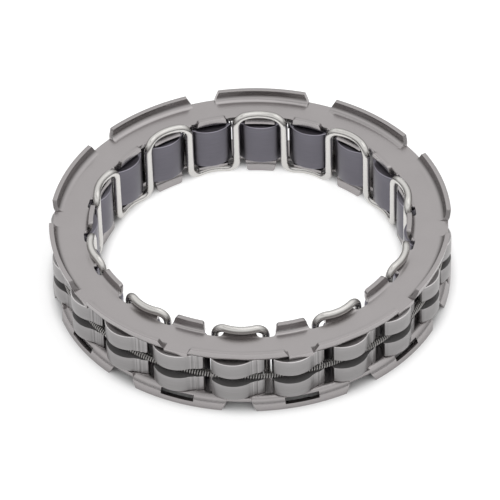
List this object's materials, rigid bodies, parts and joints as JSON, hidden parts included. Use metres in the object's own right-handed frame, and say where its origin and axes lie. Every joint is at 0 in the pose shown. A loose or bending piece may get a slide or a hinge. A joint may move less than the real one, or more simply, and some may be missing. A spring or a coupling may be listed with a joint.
{
  "type": "sprag clutch",
  "caption": "Caged one-way sprag clutch ring: rocking sprags between two pressed side plates, tied by a bent wire and leaned by a garter spring.",
  "frame": {"origin": "centre of the ring, on its axis and on its middle plane", "axes": "+Z along the ring's axis towards the upper side plate; +Y through the middle of the first sprag, where the upper plate has a lug and a wire run"},
  "size_m": [0.0716, 0.0716, 0.0136],
  "materials": {
    "side_plate_steel": "satin",
    "sprag_steel": "ground",
    "retaining_wire_steel": "drawn, bright",
    "garter_spring_steel": "drawn, bright"
  },
  "bodies": {
    "cage": {"upper_side_plate": "side_plate_steel", "lower_side_plate": "side_plate_steel", "retaining_wire": "retaining_wire_steel", "garter_spring": "garter_spring_steel"},
    "sprag_01": {"sprag_01": "sprag_steel"},
    "sprag_02": {"sprag_02": "sprag_steel"},
    "sprag_03": {"sprag_03": "sprag_steel"},
    "sprag_04": {"sprag_04": "sprag_steel"},
    "sprag_05": {"sprag_05": "sprag_steel"},
    "sprag_06": {"sprag_06": "sprag_steel"},
    "sprag_07": {"sprag_07": "sprag_steel"},
    "sprag_08": {"sprag_08": "sprag_steel"},
    "sprag_09": {"sprag_09": "sprag_steel"},
    "sprag_10": {"sprag_10": "sprag_steel"},
    "sprag_11": {"sprag_11": "sprag_steel"},
    "sprag_12": {"sprag_12": "sprag_steel"},
    "sprag_13": {"sprag_13": "sprag_steel"},
    "sprag_14": {"sprag_14": "sprag_steel"},
    "sprag_15": {"sprag_15": "sprag_steel"},
    "sprag_16": {"sprag_16": "sprag_steel"},
    "sprag_17": {"sprag_17": "sprag_steel"},
    "sprag_18": {"sprag_18": "sprag_steel"},
    "sprag_19": {"sprag_19": "sprag_steel"},
    "sprag_20": {"sprag_20": "sprag_steel"}
  },
  "joints": [
    {"name": "sprag_01_rock", "type": "hinge", "parent": "cage", "child": "sprag_01", "pos_m": [0, 0.0316, 0], "axis": [0, 0, 1], "range_deg": [-12, 0], "stiffness_Nm_per_rad": 0.001, "springref_deg": 5.73},
    {"name": "sprag_02_rock", "type": "hinge", "parent": "cage", "child": "sprag_02", "pos_m": [-0.00976, 0.03005, 0], "axis": [0, 0, 1], "range_deg": [-12, 0]},
    {"name": "sprag_03_rock", "type": "hinge", "parent": "cage", "child": "sprag_03", "pos_m": [-0.01857, 0.02556, 0], "axis": [0, 0, 1], "range_deg": [-12, 0]},
    {"name": "sprag_04_rock", "type": "hinge", "parent": "cage", "child": "sprag_04", "pos_m": [-0.02556, 0.01857, 0], "axis": [0, 0, 1], "range_deg": [-12, 0]},
    {"name": "sprag_05_rock", "type": "hinge", "parent": "cage", "child": "sprag_05", "pos_m": [-0.03005, 0.00976, 0], "axis": [0, 0, 1], "range_deg": [-12, 0]},
    {"name": "sprag_06_rock", "type": "hinge", "parent": "cage", "child": "sprag_06", "pos_m": [-0.0316, 0, 0], "axis": [0, 0, 1], "range_deg": [-12, 0]},
    {"name": "sprag_07_rock", "type": "hinge", "parent": "cage", "child": "sprag_07", "pos_m": [-0.03005, -0.00976, 0], "axis": [0, 0, 1], "range_deg": [-12, 0]},
    {"name": "sprag_08_rock", "type": "hinge", "parent": "cage", "child": "sprag_08", "pos_m": [-0.02556, -0.01857, 0], "axis": [0, 0, 1], "range_deg": [-12, 0]},
    {"name": "sprag_09_rock", "type": "hinge", "parent": "cage", "child": "sprag_09", "pos_m": [-0.01857, -0.02556, 0], "axis": [0, 0, 1], "range_deg": [-12, 0]},
    {"name": "sprag_10_rock", "type": "hinge", "parent": "cage", "child": "sprag_10", "pos_m": [-0.00976, -0.03005, 0], "axis": [0, 0, 1], "range_deg": [-12, 0]},
    {"name": "sprag_11_rock", "type": "hinge", "parent": "cage", "child": "sprag_11", "pos_m": [0, -0.0316, 0], "axis": [0, 0, 1], "range_deg": [-12, 0]},
    {"name": "sprag_12_rock", "type": "hinge", "parent": "cage", "child": "sprag_12", "pos_m": [0.00976, -0.03005, 0], "axis": [0, 0, 1], "range_deg": [-12, 0]},
    {"name": "sprag_13_rock", "type": "hinge", "parent": "cage", "child": "sprag_13", "pos_m": [0.01857, -0.02556, 0], "axis": [0, 0, 1], "range_deg": [-12, 0]},
    {"name": "sprag_14_rock", "type": "hinge", "parent": "cage", "child": "sprag_14", "pos_m": [0.02556, -0.01857, 0], "axis": [0, 0, 1], "range_deg": [-12, 0]},
    {"name": "sprag_15_rock", "type": "hinge", "parent": "cage", "child": "sprag_15", "pos_m": [0.03005, -0.00976, 0], "axis": [0, 0, 1], "range_deg": [-12, 0]},
    {"name": "sprag_16_rock", "type": "hinge", "parent": "cage", "child": "sprag_16", "pos_m": [0.0316, 0, 0], "axis": [0, 0, 1], "range_deg": [-12, 0]},
    {"name": "sprag_17_rock", "type": "hinge", "parent": "cage", "child": "sprag_17", "pos_m": [0.03005, 0.00976, 0], "axis": [0, 0, 1], "range_deg": [-12, 0]},
    {"name": "sprag_18_rock", "type": "hinge", "parent": "cage", "child": "sprag_18", "pos_m": [0.02556, 0.01857, 0], "axis": [0, 0, 1], "range_deg": [-12, 0]},
    {"name": "sprag_19_rock", "type": "hinge", "parent": "cage", "child": "sprag_19", "pos_m": [0.01857, 0.02556, 0], "axis": [0, 0, 1], "range_deg": [-12, 0]},
    {"name": "sprag_20_rock", "type": "hinge", "parent": "cage", "child": "sprag_20", "pos_m": [0.00976, 0.03005, 0], "axis": [0, 0, 1], "range_deg": [-12, 0]}
  ],
  "couplings": [
    {"joint": "sprag_02_rock", "follows": "sprag_01_rock", "ratio": 1},
    {"joint": "sprag_03_rock", "follows": "sprag_01_rock", "ratio": 1},
    {"joint": "sprag_04_rock", "follows": "sprag_01_rock", "ratio": 1},
    {"joint": "sprag_05_rock", "follows": "sprag_01_rock", "ratio": 1},
    {"joint": "sprag_06_rock", "follows": "sprag_01_rock", "ratio": 1},
    {"joint": "sprag_07_rock", "follows": "sprag_01_rock", "ratio": 1},
    {"joint": "sprag_08_rock", "follows": "sprag_01_rock", "ratio": 1},
    {"joint": "sprag_09_rock", "follows": "sprag_01_rock", "ratio": 1},
    {"joint": "sprag_10_rock", "follows": "sprag_01_rock", "ratio": 1},
    {"joint": "sprag_11_rock", "follows": "sprag_01_rock", "ratio": 1},
    {"joint": "sprag_12_rock", "follows": "sprag_01_rock", "ratio": 1},
    {"joint": "sprag_13_rock", "follows": "sprag_01_rock", "ratio": 1},
    {"joint": "sprag_14_rock", "follows": "sprag_01_rock", "ratio": 1},
    {"joint": "sprag_15_rock", "follows": "sprag_01_rock", "ratio": 1},
    {"joint": "sprag_16_rock", "follows": "sprag_01_rock", "ratio": 1},
    {"joint": "sprag_17_rock", "follows": "sprag_01_rock", "ratio": 1},
    {"joint": "sprag_18_rock", "follows": "sprag_01_rock", "ratio": 1},
    {"joint": "sprag_19_rock", "follows": "sprag_01_rock", "ratio": 1},
    {"joint": "sprag_20_rock", "follows": "sprag_01_rock", "ratio": 1}
  ]
}
